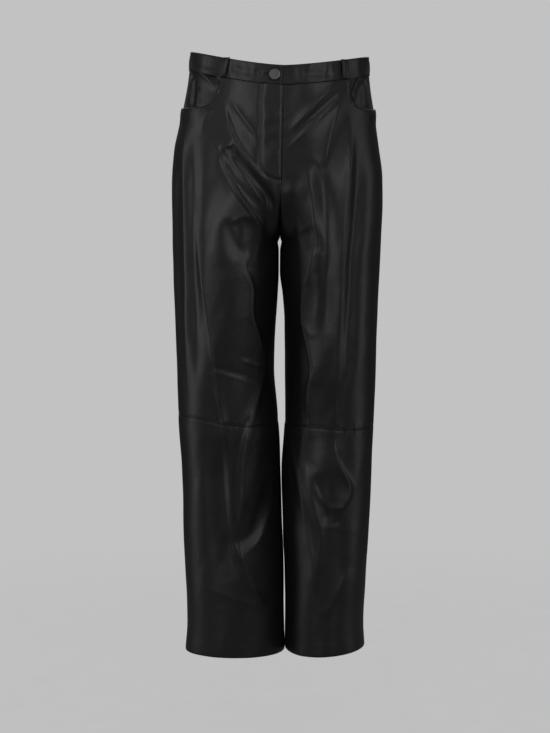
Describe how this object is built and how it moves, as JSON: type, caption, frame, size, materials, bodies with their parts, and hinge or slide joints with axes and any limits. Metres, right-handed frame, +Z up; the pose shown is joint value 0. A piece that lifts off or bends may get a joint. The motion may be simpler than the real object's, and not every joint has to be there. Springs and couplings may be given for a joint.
{
  "type": "leather trousers",
  "caption": "Straight-legged full-length trousers in smooth leather, hollow as worn, with a waistband, scooped front pockets and a knee seam on each leg.",
  "frame": {"origin": "middle of the waist opening, level with the waistband's top edge at the sides", "axes": "+Z up, -Y is the front, +X is the wearer's left"},
  "size_m": [0.3617, 0.2374, 1.0353],
  "materials": {
    "nappa": "smooth semi-gloss",
    "button_metal": "dark brushed",
    "zip_tape": "matt"
  },
  "bodies": {
    "root": {"waistband_right": "nappa", "front_right": "nappa", "back_right": "nappa", "shin_right": "nappa", "calf_right": "nappa", "waistband_left": "nappa", "front_left": "nappa", "back_left": "nappa", "shin_left": "nappa", "calf_left": "nappa", "pocket_facing_right": "nappa", "pocket_facing_left": "nappa", "fly_facing": "nappa", "belt_loop_front_right": "nappa", "belt_loop_front_left": "nappa", "belt_loop_side_right": "nappa", "belt_loop_side_left": "nappa", "belt_loop_back": "nappa", "button": "button_metal", "fly_zip": "zip_tape"}
  },
  "joints": []
}
